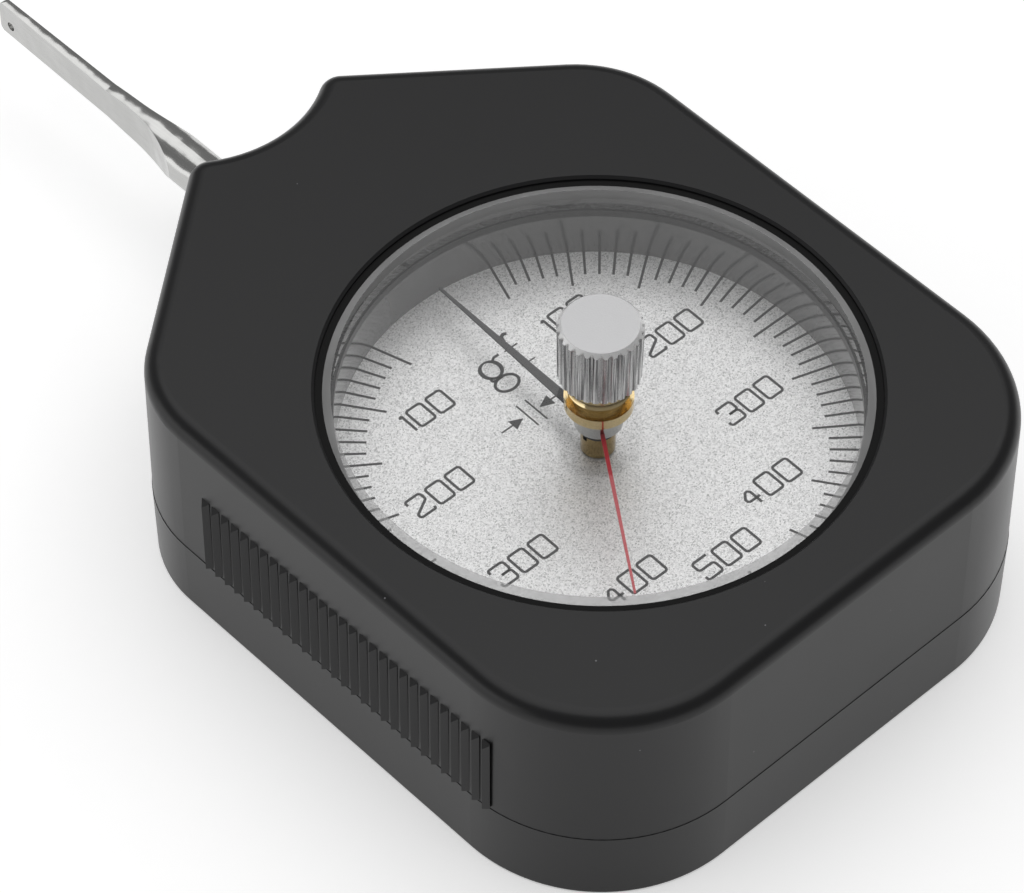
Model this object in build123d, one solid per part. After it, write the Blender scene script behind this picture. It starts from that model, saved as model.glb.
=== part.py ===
"""Dial force gauge: a measuring lever, a geared movement, a dial with a main pointer, and a
peak pointer that a knob on the lens turns.

Millimetres. The origin is on the back face, under the dial's axis. +Z points out of the dial,
+Y along the measuring lever, +X to the right of the dial.
"""

from build123d import *
import math
import os

# ---- Case ------------------------------------------------------------------------------
side_border = 5.4            # dial opening to the case's long sides, at the seam
front_border = 6.6           # dial opening to the front edge, at the seam
front_corner_radius = 16.2
shoulder_corner_radius = 12.7
shoulder_start = 28.65       # dial axis to where the side would meet the sloping shoulder
shoulder_slope = 39.0        # degrees from X
scoop_bottom = 44.3          # dial axis to the deepest point of the scoop between the horns
scoop_radius = 13.0
horn_radius = 2.3
wall = 2.2
top_thickness = 2.4
top_edge_radius = 1.7
housing_draft = 0.3          # degrees
opening_edge = 0.25          # small bevel around the dial opening
case_gap = 0.1               # clearance between the shells' overlapping lips

cover_height = 8.4
cover_floor = 2.0
cover_step = 0.05            # how far the cover stands proud of the housing at the seam
cover_draft = 1.0            # degrees
cover_edge_radius = 0.35
lip_height = 0.9
lip_thickness = 1.0

rib_count = 29
rib_pitch = 1.34
rib_height = 0.5             # the ribs have square crests, so twice as wide as high
rib_foot = 0.25              # seam to the ribs' lower ends
rib_length = 9.45
rib_centre = 0.25            # middle of the row of ribs, along Y
rib_slope_start = 0.1        # the slope of their upper ends starts inside the wall

boss_radius = 3.0
boss_merge = 0.6             # how far a boss runs into the wall that carries it
case_screw_radius = 1.0
case_screw_head_radius = 1.9
case_screw_head_height = 1.2
case_screw_sink = 1.6        # depth of the head's pocket in the back face
case_screw_engagement = 6.0  # length of thread in the housing
case_thread_run_out = 1.0    # thread beyond the screw's end
hole_clearance = 0.15        # radial, round a screw that passes through
thread_gap = 0.02            # radial, round a screw in its own thread

# ---- Lens and dial ---------------------------------------------------------------------
lens_radius = 25.25
seal_width = 0.75            # lens's edge to the housing's opening
lens_recess = 0.15           # lens face below the case's top face
lens_thickness = 1.2
lens_rim_height = 2.7
lens_rim_width = 0.8
lens_bevel_width = 0.75
lens_bevel_drop = 0.3
seal_recess = 0.45
seal_gap = 0.02
ledge_thickness = 0.8
ledge_lap = 0.15             # how far the ledge reaches inside the lens rim's inner face
collar_wall = 2.0            # wall that carries the ledge, around the opening

dial_depth = 8.6             # dial face below the case's top face
dial_thickness = 0.6
dial_turn = -1.0             # degrees about Z at which the dial sits in the case
dial_hole_radius = 1.1
ring_wall = 1.4
dial_inset = 0.5             # dial's edge inside the ring's outer face

foot_radius = 0.8
foot_offset = 15.5           # dial feet from the dial's axis
foot_fit = 0.02

# ---- Movement frame --------------------------------------------------------------------
dial_standoff = 1.5          # dial's back to the front plate
plate_thickness = 1.2
plate_radius = 20.5
neck_corner_radius = 3.0
neck_half_width = 11.5       # half width of the plates where they carry the lever
neck_margin = 6.0            # lever arbor to the plates' far edge
mount_boss_height = 1.4
mount_boss_radius = 2.6

pillar_radius = 2.0
front_pillar = (15.5, -10.5)
neck_pillar = (9.2, 3.3)     # from the lever arbor
plate_screw_radius = 0.8
plate_screw_head_radius = 1.5
plate_screw_head_height = 0.6
plate_screw_length = 3.4
plate_thread_run_out = 0.4   # thread in a pillar beyond the screw's end
movement_screw_front = (9.5, -16.0)
movement_screw_side = (17.0, 5.5)
movement_screw_length = 2.4

bush_radius = 1.7
end_shake = 0.15             # axial play of an arbor between its plates
pivot_clearance = 0.03       # radial, pivot in its bush

# ---- Lever and gearing -----------------------------------------------------------------
lever_travel = 10.1          # degrees each way
gear_module = 0.3
pinion_teeth = 10
gear_ratio = 18
sector_teeth_cut = 14
tooth_addendum = 0.24
tooth_dedendum = 0.36
tooth_pitch_width = 0.40
tooth_tip_width = 0.22
tooth_root_width = 0.50

sector_lift = 1.7            # sector above the rear plate
sector_thickness = 1.0
sector_arm_half_width = 2.5
sector_rim_depth = 2.6
sector_hub_radius = 4.4
pinion_overlap = 0.55        # how far the pinion stands past the sector, each side

lever_arbor_radius = 1.0
lever_pivot_radius = 0.6
hub_radius = 4.4
hub_half_height = 2.5
hub_boss_radius = 3.6

rod_radius = 2.4
rod_start = 4.0              # lever arbor to the rod's shoulder
spigot_radius = 1.5
spigot_depth = 2.4           # length of the rod's spigot inside the hub
rod_end = 63.3               # dial axis to where the rod starts to narrow
nose_end = 70.2              # dial axis to where the narrowing ends
blade_bar_radius = 1.98      # half height of the flattened end
scoop_start = 58.6           # where the flats start to run into the rod
scoop_end = 66.5             # where the flats are fully cut
blade_root_thickness = 1.36
blade_tip_thickness = 0.84
lever_tip = 87.3             # dial axis to the lever's tip
tip_corner_radius = 0.7
tip_hole_radius = 0.5
tip_hole_inset = 1.7         # tip to the small hole's axis
tip_hole_drop = 0.55         # hole's axis below the lever's axis

set_screw_radius = 0.8
set_screw_offset = 2.7       # lever arbor to the set screw's axis
set_screw_slot_width = 0.3
set_screw_slot_depth = 0.3
rivet_radius = 0.7
rivet_offset = 2.9
rivet_head_radius = 1.1
rivet_head_height = 0.4

slot_half_width = 5.6
slot_clearance = 0.5         # above and below the rod
slot_corner_radius = 1.2

spring_wire_radius = 0.35
spring_ring_clearance = 0.35
spring_rod_clearance = 0.15
spring_leg_reach = 16.1      # lever arbor to the free ends of the spring's legs
spring_plate_clearance = 0.55
spring_post_radius = 0.9
spring_post_offset = 11.7    # lever arbor to the fixed post
drive_pin_radius = 0.9
drive_pin_offset = 14.5      # lever arbor to the moving pin
spring_leg_clearance = 0.05
stop_pin_radius = 0.8
stop_pin_distance = 12.0     # lever arbor to a stop pin
stop_pin_clearance = 0.08
stop_pin_lead = 0.4          # stop pins above the sector

# ---- Pointers --------------------------------------------------------------------------
pointer_arbor_radius = 0.8
pointer_pivot_radius = 0.4
pointer_neck_radius = 0.6    # where the arbor passes through the front plate and dial
pointer_hub_radius = 1.65
pointer_hub_lift = 0.2       # hub above the dial's face
pointer_hub_height = 2.8
pointer_hub_slot = 0.5
pointer_hub_slot_depth = 0.9
pointer_height = 2.6         # pointer's underside above the dial's face
pointer_thickness = 0.25
pointer_reach = 22.6
pointer_root_width = 1.15
pointer_tip_width = 0.2
pointer_setting = -2.4       # degrees about Z at which the pointer is pressed on

collet_radius = 1.5
collet_height = 0.9
collet_gap = 1.75            # collet above the pinion
hairspring_outer = 5.4
hairspring_turns = 5
hairspring_strip = 0.14
hairspring_height = 0.5
stud_radius = 0.5
stud_gap = 0.05

bushing_flange_radius = 3.25
bushing_flange_height = 1.1
bushing_stem_radius = 2.4
bushing_stem_gap = 0.05      # radial, stem in the lens's hole
nut_foot_radius = 3.0
nut_waist_radius = 2.75
nut_top_radius = 3.3
nut_height = 1.75
washer_thickness = 0.2
washer_radius = 2.6
washer_gap = 0.02            # washer to knob
peak_shaft_radius = 0.9
peak_shaft_clearance = 0.04
knob_radius = 4.0
knob_foot_radius = 3.88
knob_height = 6.6
knob_flutes = 28
knob_flute_depth = 0.26
knob_bevel = 0.42
knob_shaft_depth = 4.5       # how far the shaft runs into the knob
drag_hub_radius = 2.3
drag_hub_gap = 0.15          # under the bushing's flange
drag_hub_height = 2.35
drag_hub_skin = 0.4          # hub's wall outside the red pointer's eye
drag_pointer_height = 4.15   # red pointer's underside above the dial's face
drag_pointer_thickness = 0.2
drag_pointer_reach = 21.0
drag_pointer_width = 0.42
drag_pointer_tip_width = 0.22
drag_pointer_angle = 145.1   # degrees about Z at which the red pointer lies

# ---- Places that follow ----------------------------------------------------------------
opening_radius = lens_radius + seal_width
ledge_radius = lens_radius - lens_rim_width - ledge_lap
collar_radius = opening_radius + collar_wall
ring_outer_radius = ledge_radius + ring_wall
dial_radius = ring_outer_radius - dial_inset
case_width = 2 * (opening_radius + side_border)
case_front = opening_radius + front_border

rear_plate_bottom = cover_floor + mount_boss_height
rear_plate_top = rear_plate_bottom + plate_thickness
sector_bottom = rear_plate_top + sector_lift
hub_bottom = sector_bottom + sector_thickness
lever_axis_height = hub_bottom + hub_half_height
hub_top = lever_axis_height + hub_half_height
spring_level = lever_axis_height + rod_radius + spring_rod_clearance + spring_wire_radius
spring_top = spring_level + spring_wire_radius
front_plate_bottom = spring_top + spring_plate_clearance
front_plate_top = front_plate_bottom + plate_thickness
dial_back = front_plate_top + dial_standoff
dial_face = dial_back + dial_thickness
case_height = dial_face + dial_depth

seam = cover_height
plate_underside = case_height - top_thickness
lens_top = case_height - lens_recess
lens_underside = lens_top - lens_thickness
lens_foot = lens_top - lens_rim_height
ledge_underside = lens_foot - ledge_thickness

pinion_pitch_radius = gear_module * pinion_teeth / 2
sector_pitch_radius = pinion_pitch_radius * gear_ratio
sector_tooth_angle = 360 / (pinion_teeth * gear_ratio)
lever_pivot = pinion_pitch_radius + sector_pitch_radius
pinion_bottom = sector_bottom - pinion_overlap
pinion_top = hub_bottom + pinion_overlap
collet_seat = pinion_top + collet_gap
spring_post_place = lever_pivot - spring_post_offset
drive_pin_place = lever_pivot - drive_pin_offset

bushing_top = lens_top + nut_height
washer_top = bushing_top + washer_thickness
knob_bottom = washer_top + washer_gap
knob_top = knob_bottom + knob_height
drag_hub_top = lens_underside - bushing_flange_height - drag_hub_gap

PIVOT = Pos(0, lever_pivot, 0)


# ---- Helpers ---------------------------------------------------------------------------
def rod(radius, bottom, top, x=0.0, y=0.0):
    """Upright cylinder from one height to another."""
    return Pos(x, y, bottom) * extrude(Circle(radius), amount=top - bottom)


def slab(face, bottom, top):
    """Plan outline raised from one height to another."""
    return Pos(0, 0, bottom) * extrude(face, amount=top - bottom)


def washer_disc(outer, inner, bottom, top, x=0.0, y=0.0):
    """Flat ring."""
    return rod(outer, bottom, top, x, y) - rod(inner, bottom, top, x, y)


def mirrored(x, y):
    """A place and its mirror image across the case's middle plane."""
    return [(x, y), (-x, y)]


def screw(radius, head_radius, head_height, length, seat, x, y, up):
    """Slotted cheese-head screw: the shank runs length below its head's seat, or above it
    if the head faces down."""
    sign = 1 if up else -1
    shank = Cylinder(radius, length, align=(Align.CENTER, Align.CENTER, Align.MAX))
    head = Cylinder(head_radius, head_height, align=(Align.CENTER, Align.CENTER, Align.MIN))
    slot = Pos(0, 0, head_height) * Box(2 * head_radius, 0.4 * radius, 0.8 * head_height)
    body = shank + head - slot
    if sign < 0:
        body = Rot(180, 0, 0) * body
    return Pos(x, y, seat) * body


def group(pieces):
    """Separate solids kept in one node."""
    return Compound(children=list(pieces))


# ---- Case shells -----------------------------------------------------------------------
def case_outline(grow=0.0):
    """The case seen from above, with every side moved outwards by grow."""
    half = case_width / 2
    slope = math.radians(shoulder_slope)
    reach = half * math.sin(slope) + shoulder_start * math.cos(slope) + grow
    shoulder_y = (reach - (half + grow) * math.sin(slope)) / math.cos(slope)
    front = -(case_front + grow)
    corners = [
        (-(half + grow), front),
        (half + grow, front),
        (half + grow, shoulder_y),
        (0, reach / math.cos(slope)),
        (-(half + grow), shoulder_y),
    ]
    face = make_face(Polyline(*corners, close=True))
    face -= Pos(0, scoop_bottom + scoop_radius) * Circle(scoop_radius - grow)
    face = fillet(face.vertices().sort_by(Axis.Y)[-2:], max(horn_radius + grow, 0.5 * horn_radius))
    wide = [v for v in face.vertices() if abs(abs(v.X) - half - grow) < 1e-4]
    front_pair = [v for v in wide if v.Y < 0]
    face = fillet(front_pair, front_corner_radius + grow)
    wide = [v for v in face.vertices() if abs(v.Y - shoulder_y) < 1e-4 and abs(v.X) > half / 2]
    return fillet(wide, shoulder_corner_radius + grow)


def boss_places():
    """Centres of the four case screws, tucked into the corners of the walls."""
    front_step = front_corner_radius - wall - boss_radius + boss_merge
    front_x = case_width / 2 - front_corner_radius + front_step * math.sqrt(0.5)
    front_y = -(case_front - front_corner_radius) - front_step * math.sqrt(0.5)
    turn = math.radians((90 - shoulder_slope) / 2)
    step = shoulder_corner_radius - wall - boss_radius + boss_merge
    shoulder_x = case_width / 2 - shoulder_corner_radius + step * math.cos(turn)
    shoulder_y = shoulder_start - shoulder_corner_radius * math.tan(turn) + step * math.sin(turn)
    return mirrored(front_x, front_y) + mirrored(shoulder_x, shoulder_y)


def lip_ring(outer, inner, bottom, top):
    """Band that follows the case's outline, between two distances inside it."""
    return slab(case_outline(-outer), bottom, top) - slab(case_outline(-inner), bottom, top)


def grip_ribs():
    """Upright V ribs on both long sides, just above the seam, with sloping upper ends."""
    first = rib_centre - rib_pitch * (rib_count - 1) / 2
    flank = rib_height * math.sqrt(2)
    middle = seam + rib_foot + rib_length / 2
    rib = Rot(0, 0, 45) * Box(flank, flank, rib_length)
    reach = case_width + 2 * rib_height
    around = Pos(0, rib_centre, middle) * Box(reach, rib_pitch * (rib_count + 1), rib_length)
    upper_edges = around.edges().filter_by(Axis.Y).group_by(Axis.Z)[-1]
    around = chamfer(upper_edges, rib_height + rib_slope_start)
    ribs = []
    for side in (-1, 1):
        for i in range(rib_count):
            place = Pos(side * case_width / 2, first + i * rib_pitch, middle)
            ribs.append((place * rib) & around)
    return ribs


def lever_slot():
    """Opening in the scooped wall that the lever swings in."""
    height = 2 * (rod_radius + slot_clearance)
    section = RectangleRounded(2 * slot_half_width, height, slot_corner_radius)
    inside = scoop_bottom - wall - slot_half_width / 2
    outside = scoop_bottom + slot_half_width
    place = Pos(0, inside, lever_axis_height) * Rot(-90, 0, 0)
    return place * extrude(section, amount=outside - inside)


def upper_housing():
    """Top shell: the dial opening, the ledge for the lens, grip ribs, bosses and lever slot."""
    outline = Pos(0, 0, seam) * case_outline()
    shell = extrude(outline, amount=case_height - seam, taper=housing_draft)
    shell = fillet(shell.edges().group_by(Axis.Z)[-1], top_edge_radius)
    shell += grip_ribs()
    shell -= slab(case_outline(-wall), seam, plate_underside)
    shell += rod(collar_radius, ledge_underside, plate_underside)
    for x, y in boss_places():
        shell += rod(boss_radius, seam, plate_underside, x, y)
    shell -= rod(ledge_radius, ledge_underside, case_height)
    shell -= rod(opening_radius, lens_foot, case_height)
    lip_outside = wall - lip_thickness - case_gap
    shell -= lip_ring(lip_outside, wall + boss_radius, seam, seam + lip_height + case_gap)
    for x, y in boss_places():
        thread = case_screw_radius + thread_gap
        shell -= rod(thread, seam, seam + case_screw_engagement + case_thread_run_out, x, y)
    shell -= lever_slot()
    rim = [e for e in shell.edges().filter_by(GeomType.CIRCLE)
           if abs(e.radius - opening_radius) < 1e-4 and abs(e.center().Z - case_height) < 1e-4]
    return chamfer(rim, opening_edge)


def back_cover():
    """Bottom tray: the back face, a lip inside the housing, and bosses for both sets of screws."""
    outline = Pos(0, 0, seam) * case_outline(cover_step)
    tray = extrude(outline, amount=cover_height, dir=(0, 0, -1), taper=cover_draft)
    tray = fillet(tray.edges().group_by(Axis.Z)[0], cover_edge_radius)
    tray -= slab(case_outline(-wall), cover_floor, seam)
    tray += lip_ring(wall - lip_thickness, wall, seam, seam + lip_height)
    for x, y in boss_places():
        tray += rod(boss_radius, 0.5 * cover_floor, seam, x, y)
    for x, y in movement_screw_places():
        tray += rod(mount_boss_radius, 0.5 * cover_floor, rear_plate_bottom, x, y)
        tray -= rod(plate_screw_radius + thread_gap, 0.4 * cover_floor, rear_plate_bottom, x, y)
    for x, y in boss_places():
        tray -= rod(case_screw_radius + hole_clearance, 0, seam, x, y)
        tray -= rod(case_screw_head_radius + hole_clearance, 0, case_screw_sink, x, y)
    return tray - lever_slot()


def case_screws():
    """Four screws from the back face into the housing's bosses."""
    length = seam - case_screw_sink + case_screw_engagement
    return group(
        screw(case_screw_radius, case_screw_head_radius, case_screw_head_height, length,
              case_screw_sink, x, y, up=False)
        for x, y in boss_places()
    )


# ---- Lens, seal and dial ---------------------------------------------------------------
def lens():
    """Clear cap: a flat window, a bevelled edge and a rim that stands on the ledge."""
    inner = lens_radius - lens_rim_width
    window = rod(lens_radius, lens_foot, lens_top)
    window = chamfer(window.edges().group_by(Axis.Z)[-1], lens_bevel_drop, lens_bevel_width)
    window -= rod(inner, lens_foot, lens_underside)
    return window - rod(bushing_stem_radius + bushing_stem_gap, lens_foot, lens_top)


def lens_seal():
    """Rubber ring between the lens's edge and the housing."""
    outer = opening_radius - seal_gap
    inner = lens_radius + seal_gap
    return washer_disc(outer, inner, lens_foot, case_height - seal_recess)


def dial_ring():
    """Wall between the dial and the lens's ledge."""
    return washer_disc(ring_outer_radius, ledge_radius, dial_face, ledge_underside)


def foot_places():
    """Dial feet, on both sides of the dial's axis."""
    return mirrored(foot_offset, -foot_offset / 4)


def dial_plate():
    """Silvered dial with a hole for the pointer arbor."""
    disc = washer_disc(dial_radius, dial_hole_radius, dial_back, dial_face)
    return Rot(0, 0, dial_turn) * disc


def dial_feet():
    """Two studs on the dial's back, held in the front plate."""
    return group(rod(foot_radius, front_plate_bottom, dial_back, x, y) for x, y in foot_places())


# ---- Movement frame --------------------------------------------------------------------
def pillar_places():
    x, y = neck_pillar
    return mirrored(*front_pillar) + mirrored(x, lever_pivot + y)


def movement_screw_places():
    return mirrored(*movement_screw_front) + mirrored(*movement_screw_side)


def plate_blank():
    """Round plate with a neck that reaches out to the lever's arbor."""
    reach = lever_pivot + neck_margin
    face = Circle(plate_radius) + Pos(0, reach / 2) * Rectangle(2 * neck_half_width, reach)
    return fillet(face.vertices().sort_by(Axis.Y)[-2:], neck_corner_radius)


def movement_plate(bottom, screw_holes):
    """One of the two plates, drilled for bushes, pillars' screws and what else it carries."""
    top = bottom + plate_thickness
    plate = slab(plate_blank(), bottom, top)
    for x, y, radius in screw_holes:
        plate -= rod(radius, bottom, top, x, y)
    plate -= rod(bush_radius, bottom, top)
    return plate - rod(bush_radius, bottom, top, 0, lever_pivot)


def holes_for(places, radius):
    return [(x, y, radius) for x, y in places]


def front_plate():
    holes = holes_for(pillar_places(), plate_screw_radius + hole_clearance)
    holes += holes_for(foot_places(), foot_radius + foot_fit)
    holes += holes_for([(0, spring_post_place)], spring_post_radius)
    holes += holes_for([stud_place()], stud_radius)
    return movement_plate(front_plate_bottom, holes)


def rear_plate():
    holes = holes_for(pillar_places(), plate_screw_radius + hole_clearance)
    holes += holes_for(movement_screw_places(), plate_screw_radius + hole_clearance)
    holes += holes_for(stop_pin_places(), stop_pin_radius)
    return movement_plate(rear_plate_bottom, holes)


def pillars():
    """Four pillars that hold the plates apart, threaded at both ends."""
    depth = plate_screw_length - plate_thickness + plate_thread_run_out
    thread = plate_screw_radius + thread_gap
    posts = []
    for x, y in pillar_places():
        post = rod(pillar_radius, rear_plate_top, front_plate_bottom, x, y)
        post -= rod(thread, rear_plate_top, rear_plate_top + depth, x, y)
        post -= rod(thread, front_plate_bottom - depth, front_plate_bottom, x, y)
        posts.append(post)
    return group(posts)


def plate_screws(seat, up):
    return group(
        screw(plate_screw_radius, plate_screw_head_radius, plate_screw_head_height,
              plate_screw_length, seat, x, y, up)
        for x, y in pillar_places()
    )


def movement_screws():
    """Four screws from the rear plate into the cover's bosses."""
    return group(
        screw(plate_screw_radius, plate_screw_head_radius, plate_screw_head_height,
              movement_screw_length, rear_plate_top, x, y, up=True)
        for x, y in movement_screw_places()
    )


def bush(bottom, pivot_radius, y):
    return washer_disc(bush_radius, pivot_radius + pivot_clearance, bottom,
                       bottom + plate_thickness, 0, y)


def stop_pin_places():
    """Pins that the sector's arm meets at the ends of the lever's travel."""
    reach = sector_arm_half_width + stop_pin_radius + stop_pin_clearance
    angle = math.radians(lever_travel) + math.asin(reach / stop_pin_distance)
    x = stop_pin_distance * math.sin(angle)
    return mirrored(x, lever_pivot - stop_pin_distance * math.cos(angle))


def stop_pins():
    top = hub_bottom + stop_pin_lead
    return group(rod(stop_pin_radius, rear_plate_bottom, top, x, y) for x, y in stop_pin_places())


def spring_post():
    """Fixed post that the centring spring's legs embrace."""
    bottom = spring_level - 2 * spring_wire_radius
    return rod(spring_post_radius, bottom, front_plate_top, 0, spring_post_place)


# ---- Lever -----------------------------------------------------------------------------
def lever_bar():
    """Turned bar: spigot, rod, rounded nose and the slimmer end that is then flattened."""
    start = lever_pivot + rod_start
    nose_mid = (rod_end + nose_end) / 2
    nose_mid_radius = rod_radius - 0.3 * (rod_radius - blade_bar_radius)
    with BuildSketch(Plane.YZ) as profile:
        with BuildLine():
            Polyline((nose_end, blade_bar_radius), (lever_tip, blade_bar_radius), (lever_tip, 0),
                     (start - spigot_depth, 0), (start - spigot_depth, spigot_radius),
                     (start, spigot_radius), (start, rod_radius), (rod_end, rod_radius))
            ThreePointArc((rod_end, rod_radius), (nose_mid, nose_mid_radius),
                          (nose_end, blade_bar_radius))
        make_face()
    return revolve(profile.sketch, Axis.Y)


def lever_flats():
    """Plan outline of the lever once its outer end is milled flat on both sides."""
    wide = rod_radius + 1
    rise = rod_radius - blade_root_thickness / 2
    run = scoop_end - scoop_start
    middle = (scoop_start + 0.5 * run, blade_root_thickness / 2 + 0.25 * rise)
    with BuildSketch() as plan:
        with BuildLine():
            Polyline((0, 0), (wide, 0), (wide, scoop_start), (rod_radius, scoop_start))
            ThreePointArc((rod_radius, scoop_start), middle[::-1],
                          (blade_root_thickness / 2, scoop_end))
            Polyline((blade_root_thickness / 2, scoop_end),
                     (blade_tip_thickness / 2, lever_tip), (0, lever_tip), (0, 0))
        make_face()
        mirror(about=Plane.YZ)
    return Pos(0, 0, -wide) * extrude(plan.sketch, amount=2 * wide)


def lever_side():
    """Side outline: the round part's full height, then the blade with rounded corners at its tip."""
    bar = Pos(nose_end / 2, 0) * Rectangle(nose_end, 2 * rod_radius)
    blade = RectangleRounded(2 * (lever_tip - nose_end), 2 * blade_bar_radius, tip_corner_radius)
    face = bar + Pos(nose_end, 0) * blade
    return extrude(Plane.YZ * face, amount=2 * rod_radius, both=True)


def measuring_lever():
    """Round rod whose outer end is a thin upright blade with a small hole."""
    lever = lever_bar() & lever_flats() & lever_side()
    hole = Rot(0, 90, 0) * Cylinder(tip_hole_radius, 2 * rod_radius)
    lever -= Pos(0, lever_tip - tip_hole_inset, -tip_hole_drop) * hole
    return Pos(0, 0, lever_axis_height) * lever


def lever_hub():
    """Block on the arbor that the rod's spigot plugs into."""
    hub = rod(hub_radius, hub_bottom, hub_top)
    hub += rod(hub_boss_radius, hub_top, spring_top)
    hub -= rod(lever_arbor_radius, hub_bottom, spring_top)
    face = Pos(0, rod_start + hub_radius, lever_axis_height)
    hub -= face * Box(2 * hub_radius, 2 * hub_radius, 2 * hub_half_height)
    bore = Rot(-90, 0, 0) * Cylinder(spigot_radius, spigot_depth,
                                     align=(Align.CENTER, Align.CENTER, Align.MIN))
    hub -= Pos(0, rod_start - spigot_depth, lever_axis_height) * bore
    hub -= rod(set_screw_radius, lever_axis_height, spring_top, 0, set_screw_offset)
    for x, y in mirrored(rivet_offset, 0):
        hub -= rod(rivet_radius, hub_bottom, hub_top, x, y)
    return PIVOT * hub


def lever_set_screw():
    """Grub screw that locks the spigot in the hub."""
    body = rod(set_screw_radius, lever_axis_height + spigot_radius, hub_top, 0, set_screw_offset)
    slot = Box(2 * set_screw_radius, set_screw_slot_width, 2 * set_screw_slot_depth)
    slot = Pos(0, set_screw_offset, hub_top) * slot
    return PIVOT * (body - slot)


def arbor(bottom_pivot, body_radius, top_radius, top):
    """Stepped shaft that turns between the plates."""
    shaft = rod(bottom_pivot, rear_plate_bottom, top)
    if top_radius > bottom_pivot:
        shaft += rod(top_radius, front_plate_bottom - end_shake, top)
    return shaft + rod(body_radius, rear_plate_top + end_shake, front_plate_bottom - end_shake)


def sector_outline():
    """Toothed sector, pivot at the origin and teeth towards -Y."""
    root = sector_pitch_radius - tooth_dedendum
    half_angle = sector_tooth_angle * sector_teeth_cut / 2
    arm = Pos(0, -root / 2) * Rectangle(2 * sector_arm_half_width, root - 0.5)
    face = Circle(sector_hub_radius) + arm
    rim = Circle(root) - Circle(root - sector_rim_depth)
    far = 2 * sector_pitch_radius
    edge = far * math.tan(math.radians(half_angle))
    wedge = make_face(Polyline((0, 0), (edge, -far), (-edge, -far), close=True))
    face += rim & wedge
    for i in range(sector_teeth_cut):
        angle = (i - (sector_teeth_cut - 1) / 2) * sector_tooth_angle
        face += Rot(0, 0, 180 + angle) * tooth(sector_pitch_radius)
    return face


def tooth(pitch_radius):
    """One gear tooth that points along +Y."""
    half_root, half_pitch, half_tip = tooth_root_width / 2, tooth_pitch_width / 2, tooth_tip_width / 2
    low = pitch_radius - tooth_dedendum
    high = pitch_radius + tooth_addendum
    outline = [
        (-half_root, low - 0.1),
        (half_root, low - 0.1),
        (half_root, low),
        (half_pitch, pitch_radius),
        (half_tip, high),
        (-half_tip, high),
        (-half_pitch, pitch_radius),
        (-half_root, low),
    ]
    return make_face(Polyline(*outline, close=True))


def sector_gear():
    gear = slab(sector_outline(), sector_bottom, hub_bottom)
    gear -= rod(lever_arbor_radius, sector_bottom, hub_bottom)
    for x, y in mirrored(rivet_offset, 0):
        gear -= rod(rivet_radius, sector_bottom, hub_bottom, x, y)
    gear -= rod(drive_pin_radius, sector_bottom, hub_bottom, 0, drive_pin_place - lever_pivot)
    return PIVOT * gear


def sector_rivets():
    """Two rivets that hold the sector to the hub."""
    rivets = []
    for x, y in mirrored(rivet_offset, 0):
        shank = rod(rivet_radius, sector_bottom, hub_top, x, y)
        head = rod(rivet_head_radius, sector_bottom - rivet_head_height, sector_bottom, x, y)
        rivets.append(PIVOT * (shank + head))
    return group(rivets)


def drive_pin():
    """Pin on the sector that pushes one leg of the centring spring or the other."""
    return rod(drive_pin_radius, sector_bottom, spring_top, 0, drive_pin_place)


def centring_spring():
    """Hairpin spring: a loop round the hub's boss and two legs towards the dial's axis."""
    leg_x = spring_post_radius + spring_leg_clearance + spring_wire_radius
    loop_radius = hub_boss_radius + spring_ring_clearance + spring_wire_radius
    join_y = -math.sqrt(loop_radius**2 - leg_x**2)
    end_y = -spring_leg_reach
    ring = Circle(loop_radius + spring_wire_radius) - Circle(loop_radius - spring_wire_radius)
    mouth_width = 2 * (leg_x - spring_wire_radius)
    face = ring - Pos(0, -loop_radius) * Rectangle(mouth_width, 4 * spring_wire_radius)
    for side in (-1, 1):
        leg = Rectangle(2 * spring_wire_radius, join_y - end_y)
        face += Pos(side * leg_x, (join_y + end_y) / 2) * leg
    return PIVOT * slab(face, spring_level - spring_wire_radius, spring_top)


# ---- Pointer ---------------------------------------------------------------------------
def pinion():
    root = pinion_pitch_radius - tooth_dedendum
    face = Circle(root)
    for i in range(pinion_teeth):
        face += Rot(0, 0, i * 360 / pinion_teeth) * tooth(pinion_pitch_radius)
    gear = slab(face, pinion_bottom, pinion_top)
    return gear - rod(pointer_arbor_radius, pinion_bottom, pinion_top)


def collet():
    return washer_disc(collet_radius, pointer_arbor_radius, collet_seat, collet_seat + collet_height)


def spiral_point(turn, offset):
    """Point on the hairspring's spiral, turn counted in whole turns from its inner end."""
    start = collet_radius + hairspring_strip / 2
    pitch = (hairspring_outer - start) / hairspring_turns
    radius = start + pitch * turn + offset
    angle = 2 * math.pi * turn
    return (radius * math.cos(angle), radius * math.sin(angle))


def hairspring():
    """Flat spiral between the collet and the stud."""
    steps = 12 * hairspring_turns
    half = hairspring_strip / 2
    turns = [i * hairspring_turns / steps for i in range(steps + 1)]
    outer = [spiral_point(turn, half) for turn in turns]
    inner = [spiral_point(turn, -half) for turn in turns]
    edges = [Spline(*outer), Line(outer[-1], inner[-1]), Spline(*inner[::-1]), Line(inner[0], outer[0])]
    bottom = collet_seat + (collet_height - hairspring_height) / 2
    return slab(make_face(edges), bottom, bottom + hairspring_height)


def stud_place():
    return (hairspring_outer + hairspring_strip / 2 + stud_gap + stud_radius, 0)


def hairspring_stud():
    """Post under the front plate that the hairspring's outer end is pinned to."""
    x, y = stud_place()
    return rod(stud_radius, collet_seat, front_plate_top, x, y)


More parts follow.
